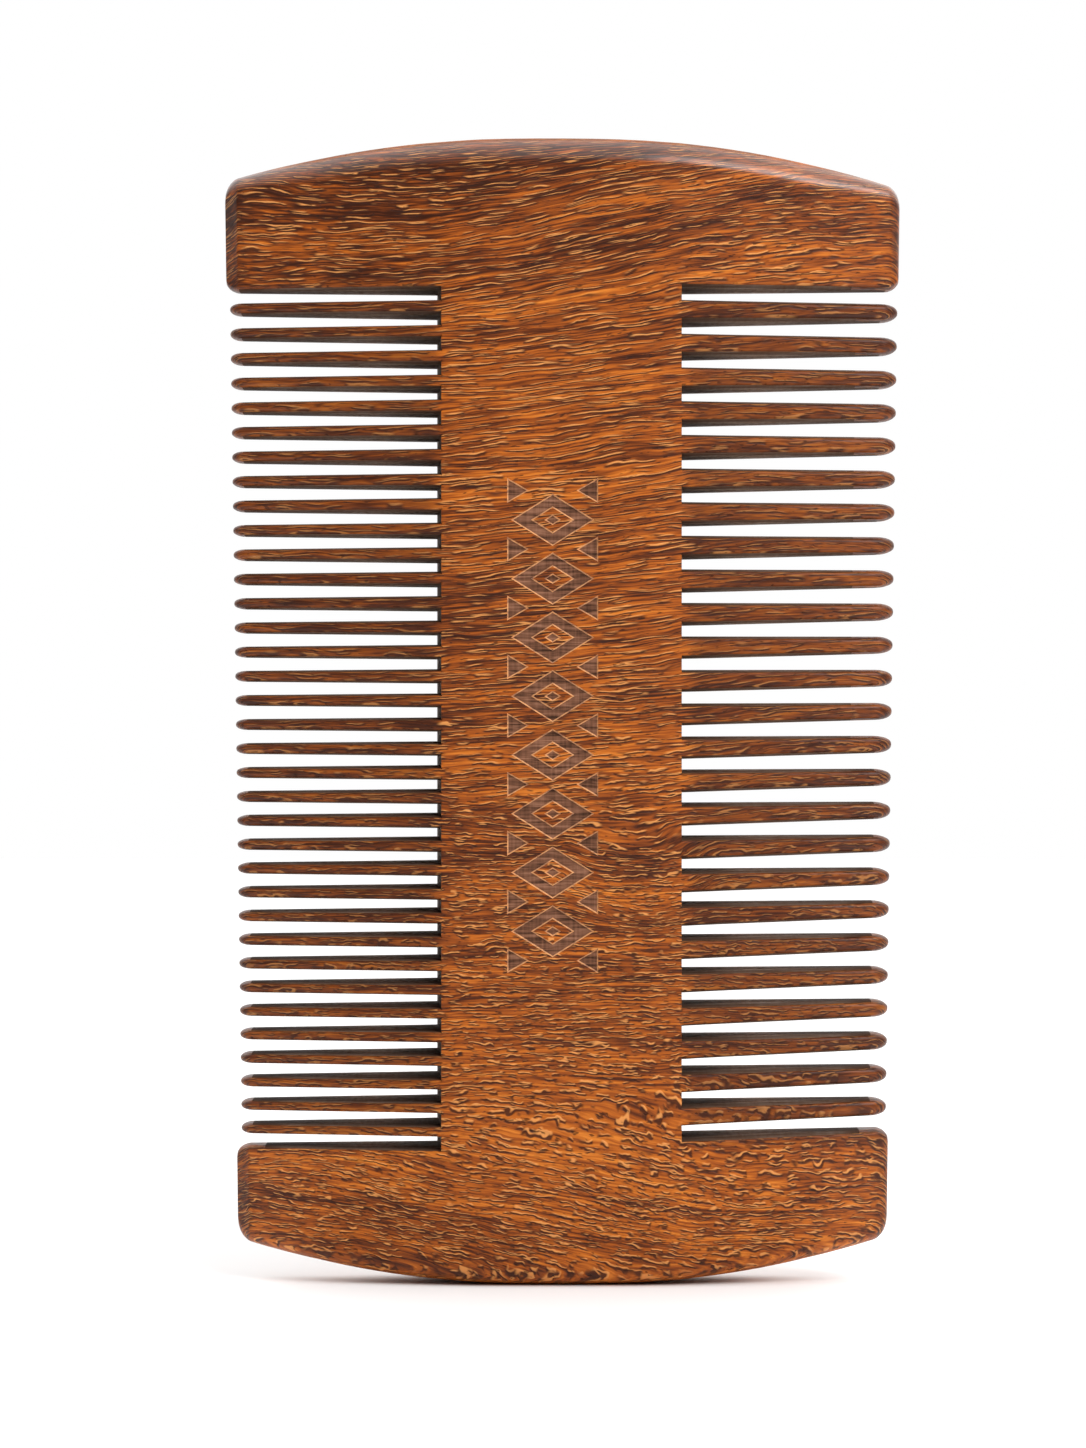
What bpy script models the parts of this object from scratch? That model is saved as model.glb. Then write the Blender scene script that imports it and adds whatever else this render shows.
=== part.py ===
"""Double-sided pocket comb for a beard, cut from one board of hardwood.

Frame: metres, +Z up along the comb's length, X along the teeth, Y through the thickness, front face at -Y.
The origin is under the middle of the comb, at the lowest point of its curved bottom edge.
The grain runs along X, so every tooth keeps long fibres from its tip to the spine.
The comb is one piece: a board is thinned towards both sides, and the gaps between the teeth are sawn out.
"""

from dataclasses import dataclass
from math import cos, pi, radians, sin

import bmesh
import bpy
from mathutils import Vector

# The board: crowned top and bottom edges, and sides that come in slightly towards the bottom.
HEIGHT = 0.1040
HALF_WIDTH_AT_BOTTOM = 0.02944
HALF_WIDTH_AT_TOP = 0.03091
TOP_CROWN_DROP = 0.00410
TOP_CROWN_X = -0.0011
BOTTOM_CROWN_DROP = 0.00445
BOTTOM_CROWN_X = -0.0003
CROWN_POWER = 2.4
CORNER_RADIUS = 0.0020
CORNER_SEGMENTS = 3

# The thickness: a flat land along the spine, and wings that thin towards the tips of the teeth.
SPINE_THICKNESS = 0.0100
SIDE_THICKNESS = 0.0030
FLAT_LAND_HALF = 0.0075
WING_POWER = 1.25
WING_STEPS = 3
LAST_STEP_FROM_SIDE = 0.0040
EDGE_BEVEL = 0.0011
EDGE_BEVEL_SEGMENTS = 2
EDGE_ANGLE = radians(45)

# The gaps: their walls are eased where they meet the faces, and the guards are rounded at the gaps' mouths.
EASING_DEPTH = 0.0012
MOST_EASED = 0.6
NOSE_STEPS = 4
GUARD_CORNER = 0.0010
GUARD_CORNER_STEPS = 2
CUT_CLEARANCE = 0.0030

WOOD_COLOUR = (0.262, 0.098, 0.030, 1.0)
WOOD_ROUGHNESS = 0.42


@dataclass(frozen=True)
class ToothRow:
    """One row of teeth, and the gaps that leave it.

    side is -1 for the row at -X and +1 for the row at +X, and bottom and top are the guards' inner edges.
    The bottom gap rises by tip_rise to its mouth, and each gap above it rises less, down to none at the top.
    A gap's root is further in on one face than on the other, because the saw runs through at a slant.
    """

    name: str
    side: int
    teeth: int
    bottom: float
    top: float
    kerf: float
    easing: float
    front_root: float
    back_root: float
    tip_inset: float
    tip_share: float
    nose_length: float
    tip_rise: float
    pitch_growth: float


@dataclass(frozen=True)
class OutlinePoint:
    """A corner of a row's cut-out.

    It lies share of the way from a gap's root out to the distance out. Easing moves it by ease_out and
    ease_up for each unit of easing, which widens the gap.
    """

    out: float
    height: float
    share: float = 1.0
    ease_out: float = 0.0
    ease_up: float = 0.0


FINE_ROW = ToothRow(
    name="fine_gaps",
    side=-1,
    teeth=35,
    bottom=0.01247,
    top=0.09021,
    kerf=0.00092,
    easing=0.00020,
    front_root=0.01095,
    back_root=0.01155,
    tip_inset=0.00035,
    tip_share=0.775,
    nose_length=0.0011,
    tip_rise=0.0,
    pitch_growth=0.030,
)
COARSE_ROW = ToothRow(
    name="coarse_gaps",
    side=1,
    teeth=25,
    bottom=0.01335,
    top=0.09033,
    kerf=0.00104,
    easing=0.00027,
    front_root=0.01075,
    back_root=0.01020,
    tip_inset=0.00010,
    tip_share=0.775,
    nose_length=0.0015,
    tip_rise=0.00055,
    pitch_growth=0.008,
)


def clear_scene():
    """Removes whatever the start-up file holds."""
    for obj in list(bpy.data.objects):
        bpy.data.objects.remove(obj)


def new_collection(name):
    """A collection under the scene's own."""
    collection = bpy.data.collections.new(name)
    bpy.context.scene.collection.children.link(collection)
    return collection


def new_object(name, bm, collection):
    """Turns bm into a mesh object in collection."""
    bmesh.ops.recalc_face_normals(bm, faces=bm.faces)
    mesh = bpy.data.meshes.new(name)
    bm.to_mesh(mesh)
    bm.free()
    obj = bpy.data.objects.new(name, mesh)
    collection.objects.link(obj)
    return obj


def hardwood():
    """Oiled reddish-brown hardwood."""
    material = bpy.data.materials.new("hardwood")
    material.use_nodes = True
    shader = material.node_tree.nodes["Principled BSDF"]
    shader.inputs["Base Color"].default_value = WOOD_COLOUR
    shader.inputs["Roughness"].default_value = WOOD_ROUGHNESS
    shader.inputs["Metallic"].default_value = 0.0
    material.diffuse_color = WOOD_COLOUR
    return material


def half_width(z):
    """Half the board's width at height z."""
    return HALF_WIDTH_AT_BOTTOM + (HALF_WIDTH_AT_TOP - HALF_WIDTH_AT_BOTTOM) * z / HEIGHT


def half_thickness(x):
    """Half the board's thickness at x."""
    out = max(0.0, abs(x) - FLAT_LAND_HALF) / (HALF_WIDTH_AT_TOP - FLAT_LAND_HALF)
    return (SPINE_THICKNESS - (SPINE_THICKNESS - SIDE_THICKNESS) * out**WING_POWER) / 2


def top_edge(x):
    """The height of the crowned top edge at x."""
    return HEIGHT - TOP_CROWN_DROP * (abs(x - TOP_CROWN_X) / HALF_WIDTH_AT_TOP) ** CROWN_POWER


def bottom_edge(x):
    """The height of the crowned bottom edge at x."""
    return BOTTOM_CROWN_DROP * (abs(x - BOTTOM_CROWN_X) / HALF_WIDTH_AT_TOP) ** CROWN_POWER


def board_stations():
    """The places along X at which the board's faces and edges bend."""
    last = HALF_WIDTH_AT_TOP - LAST_STEP_FROM_SIDE
    step = (last - FLAT_LAND_HALF) / WING_STEPS
    right = [FLAT_LAND_HALF + step * count for count in range(WING_STEPS + 1)]
    return [-station for station in right] + [0.0] + right


def board(collection):
    """The shaped board: a block bent at each station, with its corners and edges rounded."""
    bm = bmesh.new()
    bmesh.ops.create_cube(bm, size=2 * HALF_WIDTH_AT_TOP)
    for station in board_stations():
        bmesh.ops.bisect_plane(
            bm,
            geom=bm.verts[:] + bm.edges[:] + bm.faces[:],
            plane_co=Vector((station, 0, 0)),
            plane_no=Vector((1, 0, 0)),
        )
    for vert in bm.verts:
        at_side = abs(vert.co.x) > HALF_WIDTH_AT_BOTTOM
        height = top_edge(vert.co.x) if vert.co.z > 0 else bottom_edge(vert.co.x)
        depth = half_thickness(vert.co.x)
        if at_side:
            vert.co.x *= half_width(height) / HALF_WIDTH_AT_TOP
        vert.co.y = depth if vert.co.y > 0 else -depth
        vert.co.z = height
    side_verts = {vert for vert in bm.verts if abs(vert.co.x) >= HALF_WIDTH_AT_BOTTOM}
    side_edges = [edge for edge in bm.edges if side_verts.issuperset(edge.verts)]
    corners = [edge for edge in side_edges if edge.calc_length() < SPINE_THICKNESS]
    bmesh.ops.bevel(
        bm,
        geom=corners,
        offset=CORNER_RADIUS,
        segments=CORNER_SEGMENTS,
        profile=0.5,
        affect="EDGES",
    )
    obj = new_object("comb_body", bm, collection)
    rounding = obj.modifiers.new("rounded edges", "BEVEL")
    rounding.width = EDGE_BEVEL
    rounding.segments = EDGE_BEVEL_SEGMENTS
    rounding.limit_method = "ANGLE"
    rounding.angle_limit = EDGE_ANGLE
    return obj


def gap_heights(row):
    """The heights of the gaps' middles. The pitch grows a little from the bottom of the row to its top."""
    length = row.top - row.bottom - row.kerf
    shares = [gap / row.teeth for gap in range(row.teeth + 1)]
    return [
        row.bottom + row.kerf / 2 + length * share * (1 - row.pitch_growth * (1 - share)) for share in shares
    ]


def rise_at(row, height):
    """How far a gap whose root is at this height rises to its mouth."""
    return row.tip_rise * (row.top - height) / (row.top - row.bottom)


def tooth_outline(row, below, above):
    """Round one tooth, between the gaps whose middles are at the heights below and above."""
    middle = (below + above) / 2
    root_half = (above - below - row.kerf) / 2
    tip_half = root_half * row.tip_share
    nose_start = half_width(middle) - row.tip_inset - row.nose_length
    nose = []
    for step in range(NOSE_STEPS + 1):
        angle = pi * (step / NOSE_STEPS - 0.5)
        out = nose_start + row.nose_length * cos(angle)
        height = middle + rise_at(row, middle) + tip_half * sin(angle)
        nose.append(OutlinePoint(out, height, 1.0, -cos(angle), -sin(angle)))
    lower_root = OutlinePoint(nose_start, middle - root_half, 0.0, 0.0, 1.0)
    upper_root = OutlinePoint(nose_start, middle + root_half, 0.0, 0.0, -1.0)
    return [lower_root, *nose, upper_root]


def guard_outline(row, inner_edge, up):
    """The inner edge of a guard from the gap's root out. up is 1 for the top guard, -1 for the bottom one."""
    side = half_width(inner_edge)
    mouth = inner_edge + rise_at(row, inner_edge)
    points = [OutlinePoint(side - GUARD_CORNER, inner_edge, 0.0, 0.0, up)]
    for step in range(GUARD_CORNER_STEPS + 1):
        angle = pi / 2 * step / GUARD_CORNER_STEPS
        out = side - GUARD_CORNER * (1 - sin(angle))
        height = mouth + up * GUARD_CORNER * (1 - cos(angle))
        points.append(OutlinePoint(out, height, 1.0, -sin(angle), up * cos(angle)))
    beyond = HALF_WIDTH_AT_TOP + CUT_CLEARANCE
    points.append(OutlinePoint(beyond, mouth + up * GUARD_CORNER))
    return points


def cut_outline(row):
    """The whole outline of a row's cut-out, from the bottom guard to the top one."""
    gaps = gap_heights(row)
    outline = guard_outline(row, row.bottom, -1)[::-1]
    for below, above in zip(gaps, gaps[1:]):
        outline += tooth_outline(row, below, above)
    return outline + guard_outline(row, row.top, 1)


def cut_vertex(row, point, face, level):
    """Where a corner of the outline lies at one level of the cutter.

    face is -1 for the front half and 1 for the back half. The levels of a half run outwards: where the
    easing starts below the surface, as far above the surface, and clear of the board.
    """
    mean_root = (row.front_root + row.back_root) / 2
    surface = half_thickness(mean_root + (point.out - mean_root) * point.share)
    sunk = min(EASING_DEPTH, surface * MOST_EASED)
    depths = (surface - sunk, surface + sunk, SPINE_THICKNESS / 2 + CUT_CLEARANCE)
    y = face * depths[level]
    eased = 2 * row.easing if level else 0.0
    root = mean_root + (row.back_root - row.front_root) * y / SPINE_THICKNESS
    out = root + (point.out - root) * point.share + eased * point.ease_out
    return Vector((row.side * out, y, point.height + eased * point.ease_up))


def row_cutter(row, collection):
    """The cut-out of one row, as a loft between its outlines at six levels from front to back."""
    bm = bmesh.new()
    outline = cut_outline(row)
    levels = [(-1, 2), (-1, 1), (-1, 0), (1, 0), (1, 1), (1, 2)]
    rings = [[bm.verts.new(cut_vertex(row, point, *level)) for point in outline] for level in levels]
    for ring, following in zip(rings, rings[1:]):
        for index in range(len(outline)):
            bm.faces.new((ring[index - 1], ring[index], following[index], following[index - 1]))
    bm.faces.new(rings[0])
    bm.faces.new(rings[-1])
    obj = new_object(row.name, bm, collection)
    obj.hide_render = True
    obj.display_type = "WIRE"
    return obj


def main():
    """Builds the comb."""
    clear_scene()
    parts = new_collection("beard_comb")
    cutters = new_collection("cutters")
    cutters.hide_render = True
    comb = board(parts)
    comb.data.materials.append(hardwood())
    for row in (FINE_ROW, COARSE_ROW):
        sawing = comb.modifiers.new(row.name, "BOOLEAN")
        sawing.operation = "DIFFERENCE"
        sawing.solver = "EXACT"
        sawing.object = row_cutter(row, cutters)


main()
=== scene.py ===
"""The looks of a double-sided wooden beard comb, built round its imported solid.

The comb is one board of oiled hardwood. Its spine is cut into rows on both sides, and the teeth and the
guards' arms are drawn out of the spine's flanks. Their edges are eased, and a geometric border is engraved
on the front land. Lengths are in metres, +Z runs up along the comb, the front faces -Y, and the grain runs
along X.
"""

import logging
from dataclasses import dataclass
from enum import Enum
from math import cos, pi, radians, sin
from typing import Any

import bmesh
import bpy
from mathutils import Euler, Matrix, Vector


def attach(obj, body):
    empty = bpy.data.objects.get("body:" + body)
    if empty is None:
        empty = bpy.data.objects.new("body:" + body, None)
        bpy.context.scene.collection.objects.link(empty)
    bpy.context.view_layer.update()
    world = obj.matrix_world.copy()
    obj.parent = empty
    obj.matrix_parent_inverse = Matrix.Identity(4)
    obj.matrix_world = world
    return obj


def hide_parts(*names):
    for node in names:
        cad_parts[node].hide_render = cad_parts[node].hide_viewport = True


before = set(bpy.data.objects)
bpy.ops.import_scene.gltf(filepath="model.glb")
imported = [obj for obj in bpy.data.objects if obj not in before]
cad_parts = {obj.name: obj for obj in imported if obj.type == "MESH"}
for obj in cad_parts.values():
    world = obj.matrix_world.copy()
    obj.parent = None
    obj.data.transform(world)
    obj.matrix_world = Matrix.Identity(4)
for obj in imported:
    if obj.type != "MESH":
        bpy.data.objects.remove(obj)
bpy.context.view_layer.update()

MM = 0.001
NEAR = 0.01 * MM

logging.basicConfig(level=logging.INFO, format="%(message)s")
log = logging.getLogger("beard_comb")


# ---------------------------------------------------------------- shader trees


class Value:
    """A number in a shader tree. Arithmetic on it adds Math nodes."""

    def __init__(self, tree: "Tree", socket: bpy.types.NodeSocket) -> None:
        """Keeps the tree and the output socket that carries the number."""
        self.tree = tree
        self.socket = socket

    def __add__(self, other: "Number") -> "Value":
        """The sum."""
        return self.tree.math("ADD", self, other)

    def __radd__(self, other: float) -> "Value":
        """The sum, with a plain number first."""
        return self.tree.math("ADD", other, self)

    def __sub__(self, other: "Number") -> "Value":
        """The difference."""
        return self.tree.math("SUBTRACT", self, other)

    def __rsub__(self, other: float) -> "Value":
        """The difference, with a plain number first."""
        return self.tree.math("SUBTRACT", other, self)

    def __mul__(self, other: "Number") -> "Value":
        """The product."""
        return self.tree.math("MULTIPLY", self, other)

    def __rmul__(self, other: float) -> "Value":
        """The product, with a plain number first."""
        return self.tree.math("MULTIPLY", other, self)

    def __truediv__(self, other: "Number") -> "Value":
        """The quotient."""
        return self.tree.math("DIVIDE", self, other)

    def __abs__(self) -> "Value":
        """The size without its sign."""
        return self.tree.math("ABSOLUTE", self)

    def floor(self) -> "Value":
        """The whole number just below."""
        return self.tree.math("FLOOR", self)

    def power(self, exponent: float) -> "Value":
        """This number raised to exponent."""
        return self.tree.math("POWER", self, exponent)

    def step(self, low: float, high: float) -> "Value":
        """A smooth step, which runs down where low is above high.

        Args:
            low: Where the step is 0.
            high: Where it is 1.

        Returns:
            The step, from 0 to 1.
        """
        near, far = min(low, high), max(low, high)
        first, last = (0.0, 1.0) if low < high else (1.0, 0.0)
        settings = {"interpolation_type": "SMOOTHSTEP"}
        sockets = {"Value": self, "From Min": near, "From Max": far, "To Min": first, "To Max": last}
        return Value(self.tree, self.tree.node("ShaderNodeMapRange", settings, sockets).outputs["Result"])


Number = Value | float
Place = tuple[Value, Value, Value]
Lengths = tuple[float, float, float]
Colour = tuple[float, float, float]


class Tree:
    """A material's or world's node tree, filled by expressions."""

    def __init__(self, owner: bpy.types.Material | bpy.types.World) -> None:
        """Empties a tree and keeps it.

        Args:
            owner: The material or world that has the tree.
        """
        owner.use_nodes = True
        self.nodes = owner.node_tree.nodes
        self.links = owner.node_tree.links
        self.nodes.clear()

    def node(
        self, kind: str, settings: dict[str, Any] | None = None, sockets: dict[Any, Any] | None = None
    ) -> Any:
        """Adds any node.

        Args:
            kind: The node's type name.
            settings: Properties that are set first. "stops" is a colour ramp's list of (place, colour).
            sockets: Values or links for the inputs, by name or index.

        Returns:
            The node.
        """
        made = self.nodes.new(kind)
        for name, value in (settings or {}).items():
            if name == "stops":
                self._set_stops(made.color_ramp, value)
            else:
                setattr(made, name, value)
        for name, value in (sockets or {}).items():
            self.feed(made.inputs[name], value)
        return made

    def feed(self, socket: bpy.types.NodeSocket, value: Any) -> None:
        """Links or sets one input.

        Args:
            socket: The input.
            value: What it gets. It is linked if it comes from the tree, and set otherwise.
        """
        if isinstance(value, Value):
            self.links.new(value.socket, socket)
        elif isinstance(value, bpy.types.NodeSocket):
            self.links.new(value, socket)
        elif isinstance(value, tuple) and len(value) == 3 and socket.type == "RGBA":
            socket.default_value = (*value, 1.0)
        else:
            socket.default_value = value

    @staticmethod
    def _set_stops(ramp: bpy.types.ColorRamp, stops: list[tuple[float, Colour]]) -> None:
        """Gives a colour ramp its stops.

        Args:
            ramp: The ramp, which starts with two stops.
            stops: The place and the colour of each stop, in order.
        """
        while len(ramp.elements) < len(stops):
            ramp.elements.new(1.0)
        for element, (place, colour) in zip(ramp.elements, stops):
            element.position = place
            element.color = (*colour, 1.0)

    def math(self, operation: str, *numbers: Number) -> Value:
        """One Math node."""
        sockets = dict(enumerate(numbers))
        return Value(self, self.node("ShaderNodeMath", {"operation": operation}, sockets).outputs[0])

    def place(self) -> Place:
        """The place on the object.

        Returns:
            The distances along X, Y and Z, in millimetres.
        """
        where = self.node("ShaderNodeTexCoord").outputs["Object"]
        parts = self.node("ShaderNodeSeparateXYZ", None, {0: where}).outputs
        return tuple(Value(self, parts[axis]) / MM for axis in "XYZ")

    def attribute(self, name: str) -> Value:
        """A number that the mesh keeps at each corner."""
        return Value(self, self.node("ShaderNodeAttribute", {"attribute_name": name}).outputs["Fac"])

    def noise(
        self, place: Place, size: Lengths, detail: float = 2.0, rough: float = 0.5, twist: float = 0.0
    ) -> Value:
        """Perlin noise.

        Args:
            place: Where the noise is read.
            size: The size of its swells along each part of the place.
            detail: How many finer layers it has.
            rough: How strong the finer layers are.
            twist: How far the swells are distorted.

        Returns:
            The noise, from 0 to 1.
        """
        parts = {axis: part / length for axis, part, length in zip("XYZ", place, size)}
        at = self.node("ShaderNodeCombineXYZ", None, parts).outputs[0]
        sockets = {"Vector": at, "Scale": 1.0, "Detail": detail, "Roughness": rough, "Distortion": twist}
        settings = {"noise_dimensions": "3D"}
        return Value(self, self.node("ShaderNodeTexNoise", settings, sockets).outputs["Fac"])

    def ramp(self, factor: Value, stops: list[tuple[float, Colour]]) -> bpy.types.NodeSocket:
        """A colour ramp."""
        return self.node("ShaderNodeValToRGB", {"stops": stops}, {"Fac": factor}).outputs["Color"]

    def blend(self, factor: Number, first: Any, second: Any) -> bpy.types.NodeSocket:
        """Mixes two colours: the first where factor is 0, and the second where it is 1."""
        settings = {"data_type": "RGBA", "clamp_factor": True}
        return self.node("ShaderNodeMix", settings, {0: factor, 6: first, 7: second}).outputs[2]

    def bump(self, height: Value, strength: float, depth: float) -> bpy.types.NodeSocket:
        """The normal of a surface with this height, where 1 stands depth above 0."""
        sockets = {"Strength": strength, "Distance": depth, "Height": height}
        return self.node("ShaderNodeBump", None, sockets).outputs["Normal"]

    def surface(self, sockets: dict[str, Any]) -> None:
        """Ends a material in a Principled shader."""
        shader = self.node("ShaderNodeBsdfPrincipled", None, sockets)
        self.node("ShaderNodeOutputMaterial", None, {"Surface": shader.outputs[0]})


# ---------------------------------------------------------------- finishes


class Slot(Enum):
    """The order of the comb's finishes on its mesh."""

    OILED = 0
    SAWN = 1
    ENGRAVED = 2
    RIM = 3


def out_to_side(x: Value, z: Value) -> Value:
    """How far out a place is, in millimetres, as if the sides stood upright over the board's foot."""
    return abs(x) - z * ((Board.half_top - Board.half_bottom) / Board.height)


@dataclass(frozen=True)
class OiledHardwood:
    """Sanded and oiled faces: orange-brown ground, dark streaks, pale fibres and short dark pores.

    A pattern's size is that of its swells along the grain, through the thickness and across the grain, in
    millimetres.
    """

    name: str = "oiled_hardwood"
    deep: Colour = (0.040, 0.0080, 0.0014)
    dark: Colour = (0.125, 0.0260, 0.0034)
    ground: Colour = (0.310, 0.0680, 0.0058)
    warm: Colour = (0.480, 0.1180, 0.0095)
    pale: Colour = (0.680, 0.2050, 0.0220)
    fibre: Colour = (0.840, 0.3400, 0.0900)
    pore: Colour = (0.022, 0.0055, 0.0014)
    # Lighter colour of the rounded edges and crowns: partly rubbed wear and partly a painted highlight.
    rim: Colour = (0.480, 0.1350, 0.0140)
    band_size: Lengths = (60.0, 12.0, 3.0)
    streak_size: Lengths = (16.0, 2.5, 0.55)
    thread_size: Lengths = (5.0, 0.8, 0.17)
    pore_size: Lengths = (0.9, 0.4, 0.14)
    row_spacings: tuple[float, float] = (0.44, 0.31)
    end_grain: float = 0.9
    bump_depth: float = 0.10 * MM

    def material(self) -> bpy.types.Material:
        """Makes the finish.

        Returns:
            The material of every face outside the gaps and the engraving.
        """
        made = bpy.data.materials.new(self.name)
        tree = Tree(made)
        x, y, z = tree.place()
        edge = tree.attribute(CombBody.EDGE)
        wood = self._grain(tree, x, y, z)
        bands = tree.noise(wood, self.band_size)
        streaks = tree.noise(wood, self.streak_size, 3.0, 0.6)
        threads = tree.noise(wood, self.thread_size, 2.0, 0.6)
        pores = tree.noise(wood, self.pore_size, 1.0).step(0.64, 0.72)
        light, shade = self._fibres(tree, wood, z.step(62.0, 30.0))
        tone = 0.5 + (bands - 0.5) * 0.60 + (streaks - 0.5) * 0.78 + (threads - 0.5) * 1.25
        # Painted light: the tone is lifted towards the bottom, standing in for light bounced up from the
        # floor. The top guard's darkening is partly painted shade.
        tone = tone - self._stains_and_top_shade(x, z) * 0.16 + z.step(36.0, 4.0) * 0.060
        stops = [
            (0.20, self.deep),
            (0.36, self.dark),
            (0.52, self.ground),
            (0.67, self.warm),
            (0.86, self.pale),
        ]
        colour = tree.ramp(tone, stops)
        # Dark lines: partly grain and partly painted shadow below the pale fibres.
        colour = tree.blend(shade * 0.88, colour, self.deep)
        colour = tree.blend(light * 0.78, colour, self.fibre)
        colour = tree.blend(pores * 0.70, colour, self.pore)
        # Lighter on the rounded crowns and edges: partly rubbed wear and partly a painted highlight where
        # they turn up to the light.
        colour = tree.blend(edge.step(0.30, 0.60) * 0.25, colour, self.rim)
        # Darker teeth and ends: partly oil and handling, and partly painted shade.
        colour = tree.blend(self._handling_and_painted_shade(x, z), colour, self.deep)
        crown = edge.step(0.008, 0.05) * edge.step(0.62, 0.30) * z.step(90.0, 94.0)
        tips = abs(x).step(18.0, 29.0)
        height = threads * 0.6 + light * 0.6 - shade * 0.5 - pores * 0.8 + streaks * 0.4
        tree.surface(
            {
                "Base Color": colour,
                "Roughness": 0.38 + threads * 0.14 + pores * 0.25 + edge.step(0.4, 0.8) * 0.2,
                "Normal": tree.bump(height, 0.8, self.bump_depth),
                "Specular IOR Level": 0.18,
                "Coat Weight": 0.04 + crown * 0.96 + tips * 0.16,
                "Coat Roughness": 0.31,
            }
        )
        return made

    def _grain(self, tree: Tree, x: Value, y: Value, z: Value) -> Place:
        """The place in the wood.

        The fibres rise to the right in the upper half of the board and sag to the right near its bottom left.
        They swirl round a small knot on the right of the spine.

        Args:
            tree: The tree to add to.
            x: Place along the teeth.
            y: Place through the thickness.
            z: Place along the comb.

        Returns:
            The place along the fibres, through the thickness and across the fibres, in millimetres.
        """
        climb = ((x + 16.0) / 46.0).step(0.0, 1.0) * (z.step(30.0, 62.0) * 3.0 + z.step(84.0, 98.0) * 3.0)
        sag = ((x + 32.0) / 50.0).step(0.0, 1.0) * z.step(24.0, 6.0) * 6.0
        knot = (((x - 7.0) / 8.0).power(2.0) + ((z - 37.0) / 6.0).power(2.0)).step(1.0, 0.0) * 1.3
        swell = tree.noise((x, y, z), (34.0, 24.0, 12.0), 1.0) - 0.5
        ripple = tree.noise((x, y, z), (7.0, 7.0, 2.6)) - 0.5
        across = z - climb + sag + knot + swell * 3.0 + ripple * 0.9
        return x + swell * 6.0, y, across + self._inward(tree, x, y) * self.end_grain

    @staticmethod
    def _inward(tree: Tree, x: Value, y: Value) -> Value:
        """How deep a place lies in the board, which gives the end grain rows of fibres too.

        Args:
            tree: The tree to add to.
            x: Place along the teeth.
            y: Place through the thickness.

        Returns:
            The depth below the nearer broad face, in millimetres.
        """
        land, side = Board.land_half / MM, Board.half_top / MM
        middle, least = Board.thickness / 2 / MM, Board.side_thickness / 2 / MM
        out = tree.math("MAXIMUM", abs(x) - land, 0.0) / (side - land)
        surface = middle - out.power(Board.wing_power) * (middle - least)
        return tree.math("MAXIMUM", surface - abs(y), 0.0)

    def _fibres(self, tree: Tree, wood: Place, busy: Value) -> tuple[Value, Value]:
        """Thin pale fibres in rows along the grain, each a dash with fine ends and a dark line below it,
        which is painted shadow of the fibre and partly a dark line in the grain.

        Args:
            tree: The tree to add to.
            wood: The place in the wood.
            busy: 1 where the fibres are many, short and curly, and 0 where they are long and few.

        Returns:
            The mask of the pale fibres and the mask of the dark lines, which are partly painted shadow.
        """
        light, shade = 0.0, 0.0
        for number, spacing in enumerate(self.row_spacings):
            along, y, across = wood[0] + number * 9.3, wood[1], wood[2] + number * 0.21
            sway = tree.noise((along, y, across), (4.5, 2.0, 1.3)) - 0.5
            curl = tree.noise((along, y, across), (1.1, 1.0, 0.6), 1.0) - 0.5
            rows = across / spacing + sway * 2.0 + curl * (0.25 + busy * 1.10)
            row = rows.floor()
            off = rows - row - 0.5
            stretch = 2.2 - busy * 1.1
            dash = tree.noise((along / stretch, y, row * 5.37), (1.0, 1.5, 1.0), 0.0) + busy * 0.03
            pale = abs(off).step(0.18, 0.05) * dash.step(0.54, 0.70)
            # Painted shadow: the dark line lies just below each pale fibre.
            dark = abs(off + 0.27).step(0.27, 0.08) * dash.step(0.48, 0.62)
            light = light + pale * (1.0 - light)
            shade = shade + dark * (1.0 - shade)
        return light, shade

    @staticmethod
    def _stains_and_top_shade(x: Value, z: Value) -> Value:
        """Where the board itself is darker.

        Args:
            x: Place along the teeth.
            z: Place along the comb.

        Returns:
            The mask of the top guard, the left half of the spine, and a band in the bottom guard.
        """
        # The top guard's darkening is partly painted shade.
        upper = z.step(80.0, 96.0) * (0.6 + x.step(16.0, -14.0) * 0.4)
        middle = x.step(4.0, -12.0) * z.step(26.0, 40.0) * z.step(80.0, 60.0)
        lower = abs(z - 7.0 + (x + 26.0) * 0.13).step(4.2, 0.8) * x.step(8.0, -20.0)
        return upper * 0.70 + middle * 0.45 + lower

    @staticmethod
    def _handling_and_painted_shade(x: Value, z: Value) -> Value:
        """Where the wood is darker on the teeth and on both sides' ends: partly oil, handling and end grain,
        and partly painted shade where the thinning sides turn away from the light.

        Args:
            x: Place along the teeth.
            z: Place along the comb.

        Returns:
            The mask of the teeth and of both sides' ends.
        """
        teeth = abs(x).step(10.6, 12.4) * z.step(12.0, 13.6) * z.step(91.4, 90.0) * 0.50
        ends = out_to_side(x, z).step(27.6, 29.2) * 0.35
        return teeth + ends * (1.0 - teeth)


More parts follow.
